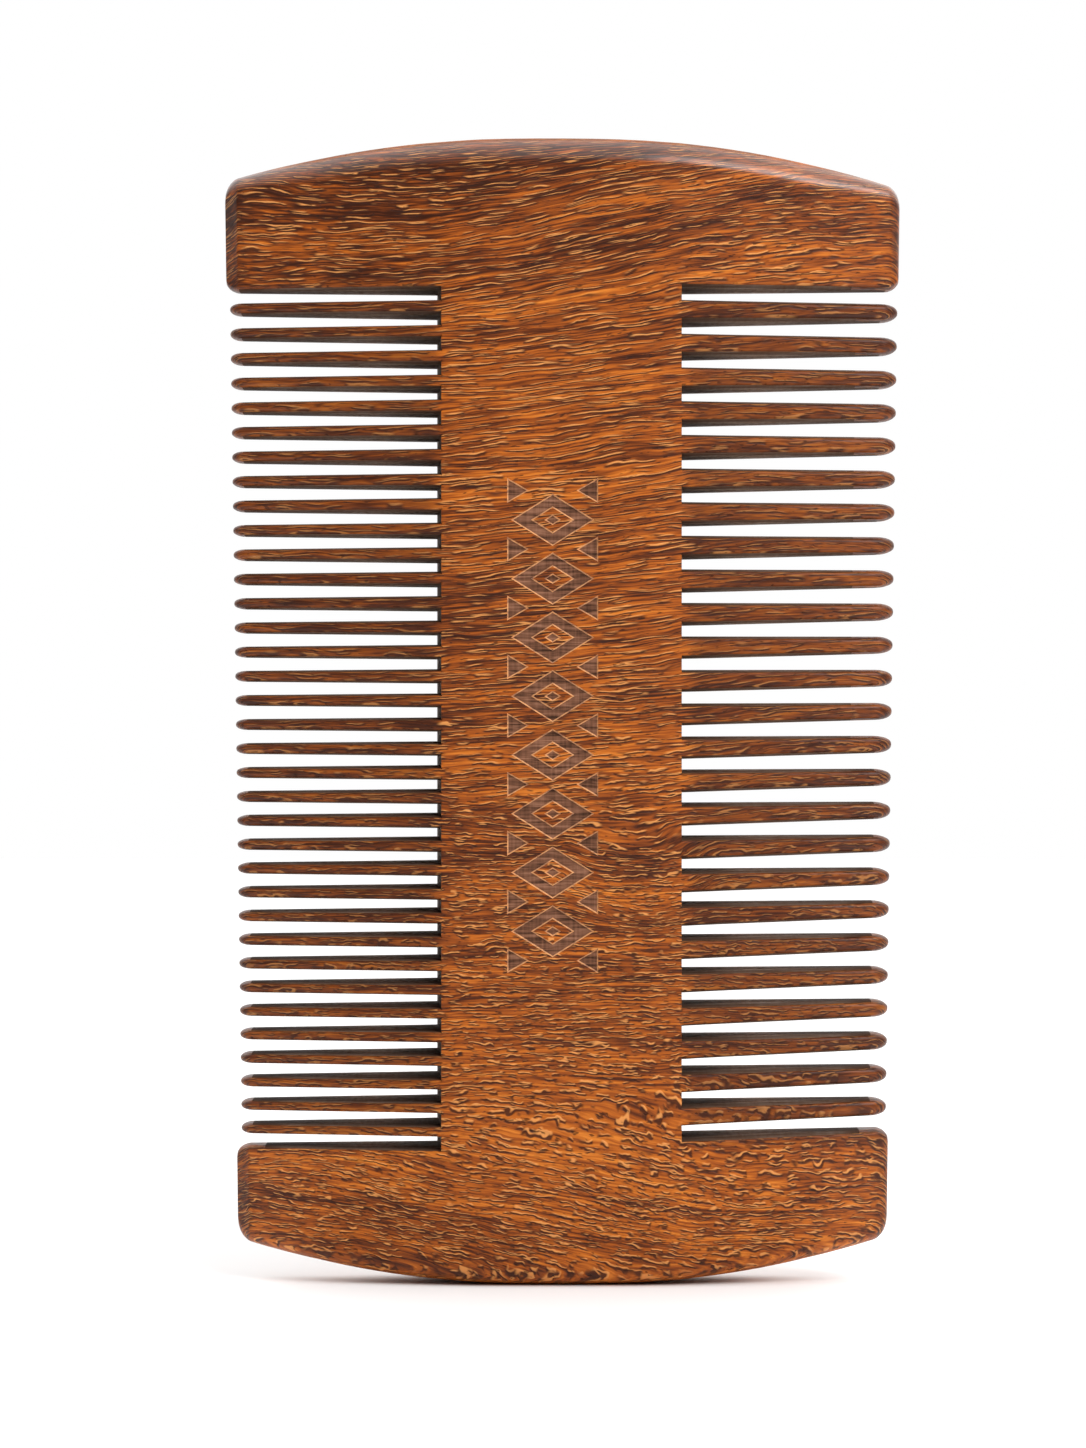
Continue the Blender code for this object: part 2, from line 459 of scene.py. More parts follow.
@dataclass(frozen=True)
class SawnHardwood:
    """The walls of the gaps, as the saw left them: dull, greyed by dust, with fibres and saw marks."""

    name: str = "sawn_hardwood"
    dark: Colour = (0.260, 0.1500, 0.0950)
    ground: Colour = (0.520, 0.3600, 0.2700)
    dusty: Colour = (0.780, 0.6200, 0.5100)
    # The dark colour of oil-soaked walls, which also serves as painted shade at the roots.
    oiled: Colour = (0.055, 0.0210, 0.0090)
    fibre_size: Lengths = (5.0, 0.5, 0.6)
    mark_size: Lengths = (0.35, 2.5, 3.0)
    bump_depth: float = 0.05 * MM

    def material(self) -> bpy.types.Material:
        """Makes the finish, darker where oil reached it near the faces and the mouths, and with painted shade
        near the roots of the gaps.

        Returns:
            The material of the gaps' walls.
        """
        made = bpy.data.materials.new(self.name)
        tree = Tree(made)
        x, y, z = tree.place()
        edge = tree.attribute(CombBody.EDGE)
        fibres = tree.noise((x, y, z), self.fibre_size, 4.0, 0.65)
        marks = tree.noise((x, y, z), self.mark_size)
        tone = fibres * 1.3 + marks * 0.35 - 0.32
        colour = tree.ramp(tone, [(0.25, self.dark), (0.50, self.ground), (0.78, self.dusty)])
        near_face = edge.step(0.66, 0.40) * 0.80
        # Painted shade: the walls darken towards the roots, deep in the gaps.
        painted_root_shade = abs(x).step(18.0, 11.0) * 0.55
        near_mouth = out_to_side(x, z).step(24.0, 27.3) * 0.85
        dry_and_unshaded = (1.0 - near_face) * (1.0 - painted_root_shade) * (1.0 - near_mouth)
        tree.surface(
            {
                "Base Color": tree.blend(1.0 - dry_and_unshaded, colour, self.oiled),
                "Roughness": 0.68 + fibres * 0.2,
                "Normal": tree.bump(fibres + marks * 0.5, 0.5, self.bump_depth),
                "Specular IOR Level": 0.10,
            }
        )
        return made


@dataclass(frozen=True)
class EngravedHardwood:
    """The engraving without oil: its scorched floor, or with pale set its light rim."""

    pale: bool = False
    dark: Colour = (0.045, 0.0180, 0.0085)
    ground: Colour = (0.155, 0.0640, 0.0340)
    dusty: Colour = (0.310, 0.1450, 0.0850)
    rim: Colour = (0.700, 0.3400, 0.1450)
    fibre_size: Lengths = (4.0, 1.0, 0.30)
    pass_size: Lengths = (0.2, 2.0, 6.0)
    bump_depth: float = 0.05 * MM

    def material(self) -> bpy.types.Material:
        """Makes the finish.

        Returns:
            The material of the engraving's floor or of its rim.
        """
        made = bpy.data.materials.new("engraved_rim" if self.pale else "engraved_hardwood")
        tree = Tree(made)
        place = tree.place()
        fibres = tree.noise(place, self.fibre_size, 3.0, 0.6, 0.4)
        passes = tree.noise(place, self.pass_size, 1.0)
        stops = [(0.28, self.dark), (0.50, self.ground), (0.78, self.dusty)]
        if self.pale:
            stops = [(0.30, self.dusty), (0.55, self.rim)]
        tree.surface(
            {
                "Base Color": tree.ramp(fibres * 1.3 + passes * 0.3 - 0.30, stops),
                "Roughness": 0.75,
                "Normal": tree.bump(fibres, 0.6, self.bump_depth),
                "Specular IOR Level": 0.15,
            }
        )
        return made


# ---------------------------------------------------------------- the comb


@dataclass(frozen=True)
class Board:
    """The board that the comb is cut from: its outline and its thickness."""

    height: float = 104.0 * MM
    half_bottom: float = 29.44 * MM
    half_top: float = 30.91 * MM
    top_drop: float = 4.10 * MM
    top_middle: float = -1.1 * MM
    bottom_drop: float = 4.45 * MM
    bottom_middle: float = -0.3 * MM
    crown_power: float = 2.4
    thickness: float = 10.0 * MM
    side_thickness: float = 3.0 * MM
    land_half: float = 7.5 * MM
    wing_power: float = 1.25

    def half_width(self, z: float) -> float:
        """Half the width at height z."""
        return self.half_bottom + (self.half_top - self.half_bottom) * z / self.height

    def half_thickness(self, x: float) -> float:
        """Half the thickness at x: flat on the spine, and thinner towards both sides."""
        out = max(0.0, abs(x) - self.land_half) / (self.half_top - self.land_half)
        return (self.thickness - (self.thickness - self.side_thickness) * out**self.wing_power) / 2

    def top_edge(self, x: float) -> float:
        """The height of the crowned top edge at x."""
        return self.height - self.top_drop * (abs(x - self.top_middle) / self.half_top) ** self.crown_power

    def bottom_edge(self, x: float) -> float:
        """The height of the crowned bottom edge at x."""
        return self.bottom_drop * (abs(x - self.bottom_middle) / self.half_top) ** self.crown_power


@dataclass(frozen=True)
class Station:
    """One section of a tooth or an arm.

    It has a place along X, half a thickness, a lowest and a highest point, how far its walls lean in towards
    the faces, and the width that its corners are eased by.
    """

    x: float
    half_thickness: float
    low: float
    high: float
    lean: float
    easing: float


@dataclass(frozen=True)
class ToothRow:
    """One row of teeth and the gaps between them. side is -1 for the row at -X and 1 for the one at +X."""

    side: int
    teeth: int
    bottom: float
    top: float
    kerf: float
    lean: float
    front_root: float
    back_root: float
    tip_inset: float
    tip_share: float
    nose_length: float
    tip_rise: float
    pitch_growth: float

    root_easing: float = 0.12 * MM
    tip_easing: float = 0.46 * MM

    LENGTHS = 8
    NOSE_ANGLES = (14, 28, 42, 55, 67, 78, 86)
    NOSE_BLUNTNESS = 0.88
    NOSE_THINNING = 0.75
    MOST_EASING = 0.27
    MOST_LEAN = 0.16

    def gap_heights(self) -> list[float]:
        """The gaps' places along the comb.

        Returns:
            The heights of the gaps' middles, from the bottom. Their pitch grows a little towards the top.
        """
        lowest = self.bottom + self.kerf / 2
        length = self.top - self.bottom - self.kerf
        shares = [gap / self.teeth for gap in range(self.teeth + 1)]
        return [lowest + length * share * (1 - self.pitch_growth * (1 - share)) for share in shares]

    def cut_heights(self) -> list[float]:
        """The heights of all the gaps' lower and upper walls at their roots."""
        middles = self.gap_heights()
        return [middle + side * self.kerf / 2 for middle in middles for side in (-1, 1)]

    def rise_at(self, height: float) -> float:
        """How far a gap whose root is at this height rises to its mouth."""
        return self.tip_rise * (self.top - height) / (self.top - self.bottom)

    def stations(self, board: Board, index: int) -> list[Station]:
        """The sections of one tooth, from just outside its root to its tip.

        Args:
            board: The board that the tooth is cut from.
            index: The tooth's place in the row, from the bottom.

        Returns:
            The sections, in order.
        """
        gaps = self.gap_heights()
        middle = (gaps[index] + gaps[index + 1]) / 2
        root_half = (gaps[index + 1] - gaps[index] - self.kerf) / 2
        root = (self.front_root + self.back_root) / 2
        nose_start = board.half_width(middle) - self.tip_inset - self.nose_length
        made = []
        for step in range(1, self.LENGTHS + 1):
            share = step / self.LENGTHS
            half = root_half * (1 - (1 - self.tip_share) * share)
            x = root + (nose_start - root) * share
            easing = self.root_easing + (self.tip_easing - self.root_easing) * share**3
            centre = middle + self.rise_at(middle) * share
            ends = (centre - half, centre + half)
            made.append(Station(self.side * x, board.half_thickness(x), *ends, self._lean(half), easing))
        for degrees in self.NOSE_ANGLES:
            x = nose_start + self.nose_length * sin(radians(degrees))
            half = root_half * self.tip_share * cos(radians(degrees)) ** self.NOSE_BLUNTNESS
            depth = board.half_thickness(x) * cos(radians(degrees)) ** self.NOSE_THINNING
            easing = min(self.tip_easing, 2 * half * self.MOST_EASING, 2 * depth * self.MOST_EASING)
            centre = middle + self.rise_at(middle)
            made.append(Station(self.side * x, depth, centre - half, centre + half, self._lean(half), easing))
        return made

    def _lean(self, half: float) -> float:
        """How far the walls of a tooth of this half height lean in."""
        return min(self.lean, 2 * half * self.MOST_LEAN)


class ArmEnd(Enum):
    """How an arm's end is finished."""

    ROUNDED = 0
    SANDED_FLAT = 1


@dataclass(frozen=True)
class Arm:
    """Half a guard: the solid arm above or below a row of teeth."""

    row: ToothRow
    upper: bool
    end: ArmEnd
    outer_radius: float = 1.5 * MM
    inner_radius: float = 0.9 * MM
    face_radius: float = 0.9 * MM
    end_length: float = 1.2 * MM
    easing: float = 0.16 * MM

    LENGTHS = 12
    END_ANGLES = (9, 18, 36, 52, 66, 78, 90)

    def stations(self, board: Board) -> list[Station]:
        """The sections of the arm, from just outside its root to its end.

        Args:
            board: The board that the arm is cut from.

        Returns:
            The sections, in order.
        """
        inner = self.row.top if self.upper else self.row.bottom
        edge = board.top_edge if self.upper else board.bottom_edge
        root = (self.row.front_root + self.row.back_root) / 2
        straight = board.half_width(inner) - self.end_length
        angles = [0.0] * self.LENGTHS + [radians(angle) for angle in self.END_ANGLES]
        made = []
        for index, angle in enumerate(angles):
            share = min(1.0, (index + 1) / self.LENGTHS)
            x = root + (straight - root) * share + self.end_length * sin(angle)
            corner = 1 - cos(angle)
            face = sin(angle) if self.end is ArmEnd.SANDED_FLAT else corner
            outer = edge(self.row.side * x)
            away = 1 if self.upper else -1
            wall = inner + self.row.rise_at(inner) * share
            ends = (wall + away * self.inner_radius * corner, outer - away * self.outer_radius * corner)
            depth = board.half_thickness(x) - self.face_radius * face
            made.append(Station(self.row.side * x, depth, min(ends), max(ends), self.row.lean, self.easing))
        return made


@dataclass(frozen=True)
class Border:
    """The engraved border on the front land.

    It is a column of lozenges with raised middles, each with a small lozenge cut in it, and has triangles on
    both sides between them.
    """

    middle: tuple[float, float] = (-0.9 * MM, 50.7 * MM)
    units: int = 8
    pitch: float = 5.30 * MM
    half_width: float = 4.1 * MM
    lozenge: tuple[float, float] = (3.75 * MM, 2.35 * MM)
    island: float = 0.47
    seed: float = 0.20
    triangle: float = 1.30 * MM
    depth: float = 0.16 * MM
    slope: float = 0.11 * MM
    above: float = 1.0 * MM

    def cutter(self, board: Board) -> bpy.types.Object:
        """Makes all the cuts as one mesh.

        Args:
            board: The board that the border is engraved on.

        Returns:
            The mesh, which reaches from above the front face to the engraving's floor.
        """
        bm = bmesh.new()
        x, z = self.middle
        for unit in range(self.units):
            height = z + (unit - (self.units - 1) / 2) * self.pitch
            ring = self._flat(bm, 4, self.lozenge, (x, height))
            self._open(bm, ring)
            seed = (self.lozenge[0] * self.seed, self.lozenge[1] * self.seed)
            self._flat(bm, 4, seed, (x, height))
        for gap in range(self.units + 1):
            height = z + (gap - self.units / 2) * self.pitch
            for side in (-1, 1):
                size = (-side * self.triangle, self.triangle)
                self._flat(bm, 3, size, (x + side * (self.half_width - self.triangle / 2), height))
        faces = bm.faces[:]
        bmesh.ops.translate(bm, verts=bm.verts, vec=(0, -board.thickness / 2, 0))
        grown = bmesh.ops.extrude_face_region(bm, geom=faces)
        verts = [item for item in grown["geom"] if isinstance(item, bmesh.types.BMVert)]
        bmesh.ops.translate(bm, verts=verts, vec=(0, -self.above, 0))
        bmesh.ops.recalc_face_normals(bm, faces=bm.faces)
        floors = [face for face in bm.faces if face.normal.y > 0.9]
        bmesh.ops.inset_region(bm, faces=floors, thickness=self.slope, depth=self.depth, use_even_offset=True)
        return mesh_object("border_cuts", bm)

    @staticmethod
    def _flat(
        bm: bmesh.types.BMesh,
        corners: int,
        size: tuple[float, float],
        middle: tuple[float, float],
    ) -> bmesh.types.BMFace:
        """Adds a flat shape that stands upright.

        Args:
            bm: The mesh to add to.
            corners: The number of its corners, the first of which points along X.
            size: Its half sizes along X and Z. A negative first one turns it round.
            middle: Its middle, along X and Z.

        Returns:
            The shape's face.
        """
        made = bmesh.ops.create_circle(bm, cap_ends=True, segments=corners, radius=1.0)
        bmesh.ops.rotate(bm, verts=made["verts"], matrix=Matrix.Rotation(-pi / 2, 3, "Z"))
        bmesh.ops.rotate(bm, verts=made["verts"], matrix=Matrix.Rotation(pi / 2, 3, "X"))
        bmesh.ops.scale(bm, verts=made["verts"], vec=(size[0], 1.0, size[1]))
        bmesh.ops.translate(bm, verts=made["verts"], vec=(middle[0], 0, middle[1]))
        return made["verts"][0].link_faces[0]

    def _open(self, bm: bmesh.types.BMesh, face: bmesh.types.BMFace) -> None:
        """Leaves only a ring of a flat shape, round a raised middle.

        Args:
            bm: The mesh that the shape is in.
            face: The shape's face.
        """
        centre = face.calc_center_median()
        bmesh.ops.inset_region(bm, faces=[face], thickness=NEAR, use_boundary=True)
        about = Matrix.Translation(-centre)
        bmesh.ops.scale(bm, verts=face.verts, vec=(self.island, 1.0, self.island), space=about)
        bmesh.ops.delete(bm, geom=[face], context="FACES")


def mesh_object(name: str, bm: bmesh.types.BMesh) -> bpy.types.Object:
    """Puts a mesh in the scene.

    Args:
        name: The object's and the mesh's name.
        bm: The mesh, which is freed.

    Returns:
        The object.
    """
    mesh = bpy.data.meshes.new(name)
    bm.to_mesh(mesh)
    bm.free()
    made = bpy.data.objects.new(name, mesh)
    bpy.context.scene.collection.objects.link(made)
    return made


class CornerKind(Enum):
    """What a corner of a limb's section is."""

    SQUARE = 0
    WALL = 1
    ROUNDED = 2


@dataclass(frozen=True)
class Corner:
    """A corner of a limb's section: its kind, its side, and how far it lies in from the section's box."""

    kind: CornerKind
    side: int
    upper: bool
    inset: float
    sunk: float

    @property
    def radius(self) -> float:
        """The radius of the rounding that the corner is part of, or 0 where it is part of none."""
        return max(self.inset, self.sunk) if self.kind is CornerKind.ROUNDED else 0.0


@dataclass
class CombBody:
    """The whole comb, as one piece of wood."""

    board: Board
    fine: ToothRow
    coarse: ToothRow
    border: Border
    crown_radius: float = 2.8 * MM
    crown_segments: int = 8
    easing_segments: int = 3

    NAME = "comb_body_shaped"
    NODE = "comb_body"
    EASING = "bevel_weight_edge"
    EDGE = "edge"
    COLUMNS = 3
    ROW_COLUMN = 9.3 * MM
    ROOT_SLANT = 0.5 * MM
    RIM_ANGLE = radians(45)
    LEAN_DEPTH = 1.9 * MM
    MOST_LEAN_DEPTH = 0.45
    MOST_SUNK = 0.95
    MOST_INSET = 0.48
    WIDEST_EASING = 0.5 * MM
    WELD = 0.002 * MM
    SHARP_ANGLE = radians(38)

    def build(self) -> bpy.types.Object:
        """Makes the comb and dresses it.

        Returns:
            The finished object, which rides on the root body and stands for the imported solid.
        """
        bm = self._core()
        self._cut_rows(bm)
        self._shape_core(bm)
        self._round_crowns(bm)
        self._lean_walls(bm)
        self._grow_limbs(bm)
        comb = mesh_object(self.NAME, bm)
        self._ease(comb)
        self._engrave(comb)
        self._dress(comb)
        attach(comb, "root")
        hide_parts(self.NODE)
        return comb

    def _root(self, row: ToothRow) -> float:
        """The mean distance of a row's roots from the middle."""
        return (row.front_root + row.back_root) / 2

    def _core(self) -> bmesh.types.BMesh:
        """The spine as a block between the two root lines.

        Returns:
            Its mesh, with columns for the crowned ends.
        """
        bm = bmesh.new()
        left, right = -self._root(self.fine), self._root(self.coarse)
        bmesh.ops.create_cube(bm, size=1.0)
        bmesh.ops.scale(bm, verts=bm.verts, vec=(right - left, self.board.thickness, self.board.height))
        bmesh.ops.translate(bm, verts=bm.verts, vec=((left + right) / 2, 0, self.board.height / 2))
        inner = [self.board.land_half * step / self.COLUMNS for step in range(1 - self.COLUMNS, self.COLUMNS)]
        outer = [side * place for side in (-1, 1) for place in (self.board.land_half, self.ROW_COLUMN)]
        for column in inner + outer:
            self._cut(bm, bm.faces[:], Vector((column, 0, 0)), Vector((1, 0, 0)))
        return bm

    @staticmethod
    def _cut(bm: bmesh.types.BMesh, faces: list[bmesh.types.BMFace], point: Vector, normal: Vector) -> None:
        """Cuts faces along a plane.

        Args:
            bm: The mesh.
            faces: The faces to cut.
            point: A point of the plane.
            normal: The plane's normal.
        """
        edges = {edge for face in faces for edge in face.edges}
        verts = {vert for face in faces for vert in face.verts}
        bmesh.ops.bisect_plane(bm, geom=[*verts, *edges, *faces], plane_co=point, plane_no=normal)

    def _cut_rows(self, bm: bmesh.types.BMesh) -> None:
        """Cuts each flank of the spine where the walls of its gaps will meet it.

        Args:
            bm: The spine.
        """
        for row in (self.fine, self.coarse):
            for height in row.cut_heights():
                flank = [
                    face
                    for face in bm.faces
                    if row.side * face.calc_center_median().x > self.ROW_COLUMN and abs(face.normal.z) < 0.5
                ]
                self._cut(bm, flank, Vector((0, 0, height)), Vector((0, 0, 1)))

    def _shape_core(self, bm: bmesh.types.BMesh) -> None:
        """Bends the spine to the board's crowns and thickness, and slants the roots.

        Args:
            bm: The spine.
        """
        for vert in bm.verts:
            row = self.coarse if vert.co.x > 0 else self.fine
            at_root = abs(abs(vert.co.x) - self._root(row)) < NEAR
            if vert.co.z > self.board.height - NEAR:
                vert.co.z = self.board.top_edge(vert.co.x)
            elif vert.co.z < NEAR:
                vert.co.z = self.board.bottom_edge(vert.co.x)
            depth = self.board.half_thickness(vert.co.x)
            front = vert.co.y < 0
            vert.co.y = -depth if front else depth
            if at_root:
                vert.co.x = row.side * (row.front_root if front else row.back_root)

    def _round_crowns(self, bm: bmesh.types.BMesh) -> None:
        """Rounds the spine's long edges at its top and bottom.

        Args:
            bm: The spine.
        """
        rims = []
        for edge in bm.edges:
            run = edge.verts[0].co - edge.verts[1].co
            lengthwise = abs(run.x) > max(abs(run.y), abs(run.z))
            if lengthwise and edge.calc_face_angle(0.0) > self.RIM_ANGLE:
                rims.append(edge)
        bmesh.ops.bevel(
            bm,
            geom=rims,
            offset=self.crown_radius,
            offset_type="OFFSET",
            segments=self.crown_segments,
            profile=0.5,
            affect="EDGES",
            material=-1,
            clamp_overlap=False,
        )

    def _lean_walls(self, bm: bmesh.types.BMesh) -> None:
        """Splits the edges that the gaps' walls grow from, and widens the gaps at both faces.

        Args:
            bm: The spine.
        """
        for row in (self.fine, self.coarse):
            root = self._root(row)
            for number, height in enumerate(row.cut_heights()):
                level = [
                    edge for edge in bm.edges if all(abs(vert.co.z - height) < NEAR for vert in edge.verts)
                ]
                for edge in level:
                    if any(abs(row.side * vert.co.x - root) > self.ROOT_SLANT for vert in edge.verts):
                        continue
                    share = self.LEAN_DEPTH / edge.calc_length()
                    first, last = edge.verts
                    _, middle = bmesh.utils.edge_split(edge, first, share)
                    bmesh.utils.edge_split(bm.edges.get((middle, last)), last, share / (1 - share))
                    for vert in (first, last):
                        vert.co.z += row.lean if number % 2 else -row.lean

    def _grow_limbs(self, bm: bmesh.types.BMesh) -> None:
        """Draws the teeth and the guards' arms out of the flanks, and marks how much their corners are eased.

        Args:
            bm: The spine.
        """
        bm.edges.layers.float.new(self.EASING)
        for row in (self.fine, self.coarse):
            flank = [face for face in bm.faces if face.normal.x * row.side > 0.9]
            flank.sort(key=lambda face: face.calc_center_median().z)
            expected = 2 * row.teeth + 3
            if len(flank) != expected:
                raise ValueError(f"the flank has {len(flank)} faces, and {expected} were expected")
            end = ArmEnd.SANDED_FLAT if row is self.fine else ArmEnd.ROUNDED
            for face, upper in ((flank[0], False), (flank[-1], True)):
                self._grow(bm, face, Arm(row, upper, end).stations(self.board))
            for index in range(row.teeth):
                self._grow(bm, flank[2 * index + 2], row.stations(self.board, index))

    def _grow(self, bm: bmesh.types.BMesh, root: bmesh.types.BMFace, stations: list[Station]) -> None:
        """Draws one limb out of its root face, section by section.

        The corners keep their roundness where the section leaves room for it. The square ones are marked for
        easing.

        Args:
            bm: The mesh.
            root: The face on the spine's flank.
            stations: The limb's sections.
        """
        easing = bm.edges.layers.float[self.EASING]
        low = min(vert.co.z for vert in root.verts)
        high = max(vert.co.z for vert in root.verts)
        corners = [self._corner_of(vert, low, high) for vert in root.verts]
        widest = max((corner.radius for corner in corners), default=0.0)
        face = root
        for station in stations:
            before = list(face.verts)
            face = bmesh.ops.extrude_discrete_faces(bm, faces=[face])["faces"][0]
            height = station.high - station.low
            room = min(station.half_thickness * self.MOST_SUNK, height * self.MOST_INSET)
            keep = min(1.0, room / widest) if widest > 0 else 1.0
            deepest = min(self.LEAN_DEPTH, station.half_thickness * self.MOST_LEAN_DEPTH)
            share = abs(station.x) / self.board.half_top
            for vert, corner in zip(face.verts, corners):
                inset, sunk = corner.inset * keep, corner.sunk * keep
                if corner.kind is CornerKind.SQUARE:
                    inset, sunk = station.lean, 0.0
                elif corner.kind is CornerKind.WALL:
                    inset, sunk = 0.0, deepest
                edge_z = station.high - inset if corner.upper else station.low + inset
                middle = (station.low + station.high) / 2
                slope = self.board.half_width(edge_z) - self.board.half_width(middle)
                x = station.x + (slope * share if station.x > 0 else -slope * share)
                vert.co = Vector((x, corner.side * (station.half_thickness - sunk), edge_z))
            for old, new, corner in zip(before, face.verts, corners):
                if corner.kind is CornerKind.SQUARE:
                    bm.edges.get((old, new))[easing] = station.easing / self.WIDEST_EASING

    def _corner_of(self, vert: bmesh.types.BMVert, low: float, high: float) -> Corner:
        """What one corner of a root face is.

        Args:
            vert: The corner.
            low: The lowest point of the face.
            high: The highest point of the face.

        Returns:
            The corner, by its place in the face.
        """
        upper = high - vert.co.z < vert.co.z - low
        inset = high - vert.co.z if upper else vert.co.z - low
        sunk = self.board.half_thickness(vert.co.x) - abs(vert.co.y)
        lean = max(self.fine.lean, self.coarse.lean)
        kind = CornerKind.ROUNDED
        if sunk < 10 * NEAR and inset < lean + NEAR:
            kind = CornerKind.SQUARE
        elif inset < NEAR and abs(sunk - self.LEAN_DEPTH) < 15 * NEAR:
            kind = CornerKind.WALL
        return Corner(kind, 1 if vert.co.y > 0 else -1, upper, inset, sunk)

    def _ease(self, comb: bpy.types.Object) -> None:
        """Rounds the marked edges.

        Args:
            comb: The comb.
        """
        rounding = comb.modifiers.new("easing", "BEVEL")
        rounding.limit_method = "WEIGHT"
        rounding.width = self.WIDEST_EASING
        rounding.segments = self.easing_segments
        rounding.profile = 0.5
        rounding.use_clamp_overlap = False
        self._settle(comb)
        bm = bmesh.new()
        bm.from_mesh(comb.data)
        bmesh.ops.remove_doubles(bm, verts=bm.verts, dist=self.WELD)
        bmesh.ops.recalc_face_normals(bm, faces=bm.faces)
        bm.to_mesh(comb.data)
        bm.free()

    @staticmethod
    def _settle(comb: bpy.types.Object) -> None:
        """Makes what the modifiers show the comb's own mesh.

        Args:
            comb: The comb.
        """
        bpy.context.view_layer.update()
        graph = bpy.context.evaluated_depsgraph_get()
        settled = bpy.data.meshes.new_from_object(comb.evaluated_get(graph))
        comb.modifiers.clear()
        comb.data = settled

    def _engrave(self, comb: bpy.types.Object) -> None:
        """Cuts the border into the front land.

        Args:
            comb: The comb.
        """
        cuts = self.border.cutter(self.board)
        carving = comb.modifiers.new("border", "BOOLEAN")
        carving.operation = "DIFFERENCE"
        carving.solver = "EXACT"
        carving.object = cuts
        self._settle(comb)
        bpy.data.objects.remove(cuts)

    def _dress(self, comb: bpy.types.Object) -> None:
        """Gives each face its finish, each corner its depth below the broad faces, and the mesh its shading.

        Args:
            comb: The comb.
        """
        mesh = comb.data
        mesh.name = self.NAME
        mesh.materials.clear()
        for finish in (OiledHardwood(), SawnHardwood(), EngravedHardwood(), EngravedHardwood(pale=True)):
            mesh.materials.append(finish.material())
        for face in mesh.polygons:
            face.material_index = self._finish_of(face).value
            face.use_smooth = True
        mesh.set_sharp_from_angle(angle=self.SHARP_ANGLE)
        depths = mesh.attributes.new(self.EDGE, "FLOAT", "POINT")
        for index, vert in enumerate(mesh.vertices):
            below = self.board.half_thickness(vert.co.x) - abs(vert.co.y)
            depths.data[index].value = min(1.0, max(0.0, below / self.crown_radius))
        shading = comb.modifiers.new("even shading", "WEIGHTED_NORMAL")
        shading.keep_sharp = True

    def _finish_of(self, face: bpy.types.MeshPolygon) -> Slot:
        """Which finish a face has.

        Args:
            face: A face of the finished mesh.

        Returns:
            Sawn in the gaps, engraved or rim in the border, and oiled elsewhere.
        """
        x, y, z = face.center
        if self._in_gap(face):
            return Slot.SAWN
        sunk = y + self.board.thickness / 2
        half_height = (self.border.units + 1) / 2 * self.border.pitch
        if abs(x) < self.board.land_half and abs(z - self.border.middle[1]) < half_height:
            if NEAR < sunk < 2 * self.border.depth:
                return Slot.ENGRAVED if face.normal.y < -0.9 else Slot.RIM
        return Slot.OILED

    def _in_gap(self, face: bpy.types.MeshPolygon) -> bool:
        """Whether a face is the root or a wall of a gap, short of the rounded mouth.

        Args:
            face: A face of the finished mesh.

        Returns:
            True if the saw left it.
        """
        x, _, z = face.center
        row = self.coarse if x > 0 else self.fine
        root = min(row.front_root, row.back_root) - 0.2 * MM
        in_row = row.bottom - row.lean < z < row.top + row.lean
        if not in_row or abs(x) < root or abs(face.normal.y) > 0.25:
            return False
        at_root = abs(x) < root + 1.0 * MM and abs(face.normal.x) > 0.7
        on_wall = abs(x) < self.board.half_width(z) - 2.0 * MM and abs(face.normal.z) > 0.9
        return at_root or on_wall


# ---------------------------------------------------------------- the studio


@dataclass(frozen=True)
class Softbox:
    """A rectangular light of this size that looks at a point of the comb."""

    name: str
    place: tuple[float, float, float]
    aim: tuple[float, float, float]
    size: tuple[float, float]
    power: float

    def build(self) -> None:
        """Makes the light."""
        light = bpy.data.lights.new(self.name, "AREA")
        light.shape = "RECTANGLE"
        light.size, light.size_y = self.size
        light.energy = self.power
        lamp = bpy.data.objects.new(self.name, light)
        lamp.location = self.place
        lamp.rotation_euler = (Vector(self.aim) - Vector(self.place)).to_track_quat("-Z", "Y").to_euler()
        bpy.context.scene.collection.objects.link(lamp)


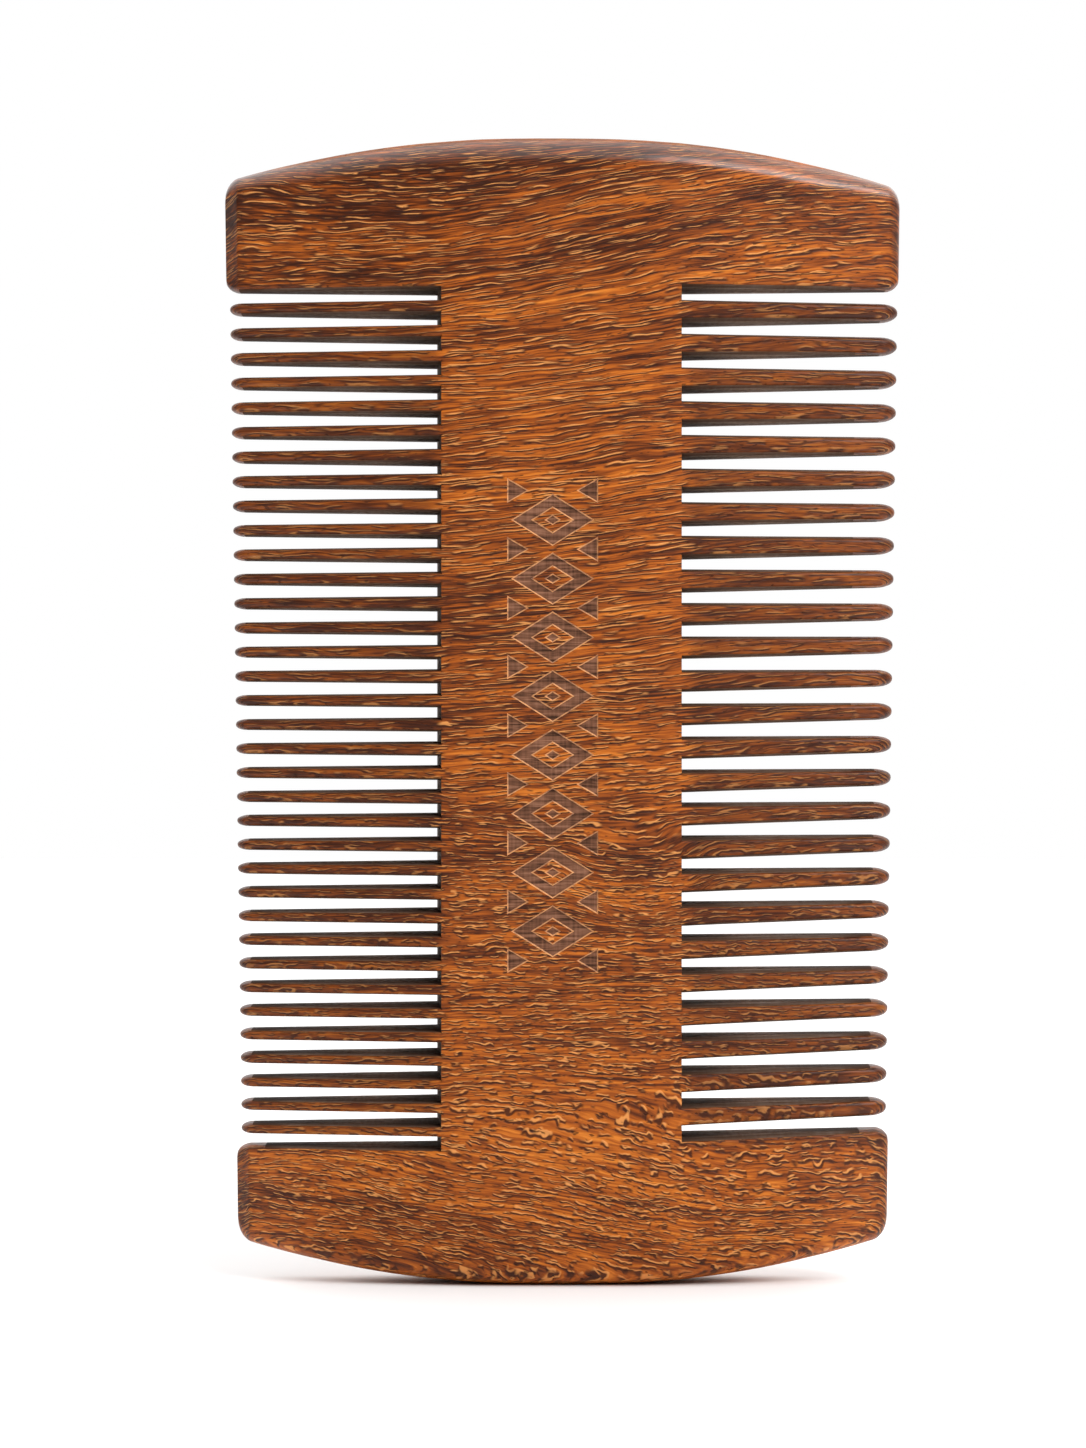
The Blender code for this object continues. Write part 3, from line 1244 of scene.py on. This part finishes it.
@dataclass(frozen=True)
class Studio:
    """White surroundings, a pale floor, one softbox and a level camera in front of the comb."""

    distance: float = 0.380
    camera_x: float = -1.77 * MM
    camera_z: float = 53.0 * MM
    view_middle_z: float = 50.81 * MM
    frame_height: float = 132.30 * MM
    sensor: float = 36.0
    floor_half: float = 1.0
    floor_colour: Colour = (0.93, 0.93, 0.93)
    glow_above: float = 1.70
    glow_in_front: float = 0.04
    glow_lean: float = 0.55
    key: Softbox = Softbox(
        name="key",
        place=(0.34, -0.42, 0.52),
        aim=(0.0, 0.0, 0.052),
        size=(0.42, 0.42),
        power=4.0,
    )

    def build(self) -> None:
        """Makes the floor, the light, the world and the camera."""
        bpy.context.scene.view_settings.view_transform = "Standard"
        self._floor()
        self._world()
        self._camera()
        self.key.build()

    def _floor(self) -> None:
        """A pale floor that the comb stands on."""
        bm = bmesh.new()
        bmesh.ops.create_grid(bm, x_segments=1, y_segments=1, size=self.floor_half)
        floor = mesh_object("floor", bm)
        made = bpy.data.materials.new("pale_floor")
        Tree(made).surface({"Base Color": self.floor_colour, "Roughness": 0.8, "Specular IOR Level": 0.2})
        floor.data.materials.append(made)

    def _world(self) -> None:
        """Plain white to look at. The light that it gives comes from above and a little from behind."""
        world = bpy.data.worlds.new("white_surroundings")
        bpy.context.scene.world = world
        tree = Tree(world)
        towards = tree.node("ShaderNodeTexCoord").outputs["Generated"]
        parts = tree.node("ShaderNodeSeparateXYZ", None, {0: towards}).outputs
        above = (Value(tree, parts["Z"]) + Value(tree, parts["Y"]) * self.glow_lean).step(0.0, 1.0)
        given = self.glow_in_front + above * (self.glow_above - self.glow_in_front)
        seen = Value(tree, tree.node("ShaderNodeLightPath").outputs["Is Camera Ray"])
        strength = seen + (1.0 - seen) * given
        glow = tree.node("ShaderNodeBackground", None, {"Color": (1.0, 1.0, 1.0), "Strength": strength})
        tree.node("ShaderNodeOutputWorld", None, {"Surface": glow.outputs[0]})

    def _camera(self) -> None:
        """A level camera, square to the comb's front, whose view is lowered a little to the comb's middle."""
        data = bpy.data.cameras.new("camera")
        data.sensor_width = self.sensor
        data.lens = self.sensor * self.distance / self.frame_height
        data.shift_y = (self.view_middle_z - self.camera_z) / self.frame_height
        data.clip_start = 0.01
        camera = bpy.data.objects.new("camera", data)
        camera.location = (self.camera_x, -self.distance, self.camera_z)
        camera.rotation_euler = Euler((pi / 2, 0.0, 0.0))
        bpy.context.scene.collection.objects.link(camera)
        bpy.context.scene.camera = camera


FINE_ROW = ToothRow(
    side=-1,
    teeth=35,
    bottom=12.47 * MM,
    top=90.21 * MM,
    kerf=0.92 * MM,
    lean=0.20 * MM,
    front_root=10.95 * MM,
    back_root=11.55 * MM,
    tip_inset=0.35 * MM,
    tip_share=0.775,
    nose_length=1.1 * MM,
    tip_rise=0.0,
    pitch_growth=0.030,
)
COARSE_ROW = ToothRow(
    side=1,
    teeth=25,
    bottom=13.35 * MM,
    top=90.33 * MM,
    kerf=1.04 * MM,
    lean=0.27 * MM,
    front_root=10.75 * MM,
    back_root=10.20 * MM,
    tip_inset=0.10 * MM,
    tip_share=0.775,
    nose_length=1.6 * MM,
    tip_rise=0.55 * MM,
    pitch_growth=0.008,
)


def main() -> None:
    """Builds the comb and the studio."""
    comb = CombBody(Board(), FINE_ROW, COARSE_ROW, Border()).build()
    log.info("%s: %d faces", comb.name, len(comb.data.polygons))
    Studio().build()
    log.info("studio: floor, softbox, world and camera")


if __name__ == "__main__":
    main()
